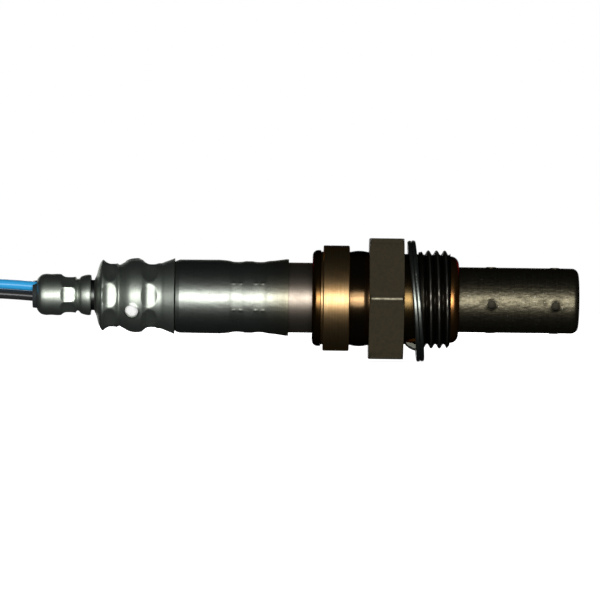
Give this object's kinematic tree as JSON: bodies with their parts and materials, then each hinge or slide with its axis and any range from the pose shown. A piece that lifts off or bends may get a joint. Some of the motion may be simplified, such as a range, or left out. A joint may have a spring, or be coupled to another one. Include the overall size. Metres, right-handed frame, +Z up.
{
  "type": "oxygen sensor",
  "caption": "Screw-in exhaust oxygen sensor with a hexagon body, loose gasket, vented nose shell, crimped casing and leads to a plug.",
  "frame": {"origin": "on the sensor's axis, in the plane of the hexagon's front face, where the gasket seats", "axes": "+X along the axis towards the nose, +Z up and square to a flat of the hexagon, a corner of the hexagon towards -Y"},
  "size_m": [0.2641, 0.042, 0.0225],
  "materials": {
    "heat_dark_steel": "heat-darkened turned steel",
    "gasket_steel": "dull folded sheet steel",
    "nose_steel": "worn stainless steel, browned by heat",
    "tinted_steel": "stainless steel with brown heat tint",
    "casing_steel": "satin stainless steel",
    "contact_alloy": "sprung nickel alloy",
    "terminal_tin": "tinned brass",
    "ceramic": "matte white technical ceramic",
    "talc": "pressed mineral powder",
    "white_filter": "porous white plastic",
    "black_rubber": "moulded rubber",
    "seal_rubber": "moulded rubber",
    "blue_insulation": "smooth wire insulation",
    "black_insulation": "smooth wire insulation",
    "white_insulation": "smooth wire insulation",
    "loom_braid": "woven braided sleeve",
    "black_plastic": "fine-grained moulded plastic",
    "grey_plastic": "moulded plastic"
  },
  "bodies": {
    "root": {"housing": "heat_dark_steel", "gasket": "gasket_steel", "outer_protector": "nose_steel", "inner_protector": "nose_steel", "zirconia_element": "ceramic", "heater_rod": "ceramic", "seat_packing": "gasket_steel", "talc_seal": "talc", "insulator_ring": "ceramic", "lock_ring": "gasket_steel", "lower_tube": "tinted_steel", "main_casing": "casing_steel", "filter_cover": "casing_steel", "vent_filter": "white_filter", "grommet_cap": "casing_steel", "grommet": "black_rubber", "rear_insulator": "ceramic", "insulator_spring": "gasket_steel", "outer_contact": "contact_alloy", "inner_contact": "contact_alloy", "heater_terminal_1": "contact_alloy", "heater_terminal_2": "contact_alloy", "lead_blue": "blue_insulation", "lead_black_1": "black_insulation", "lead_white": "white_insulation", "lead_black_2": "black_insulation", "loom_entry": "loom_braid", "loom_hank": "loom_braid", "loom_tail": "loom_braid", "hank_tie": "black_plastic", "connector_housing": "black_plastic", "connector_cover": "black_plastic", "connector_seal": "seal_rubber", "connector_lock": "grey_plastic", "connector_terminal_1": "terminal_tin", "connector_terminal_2": "terminal_tin", "connector_terminal_3": "terminal_tin", "connector_terminal_4": "terminal_tin"}
  },
  "joints": []
}
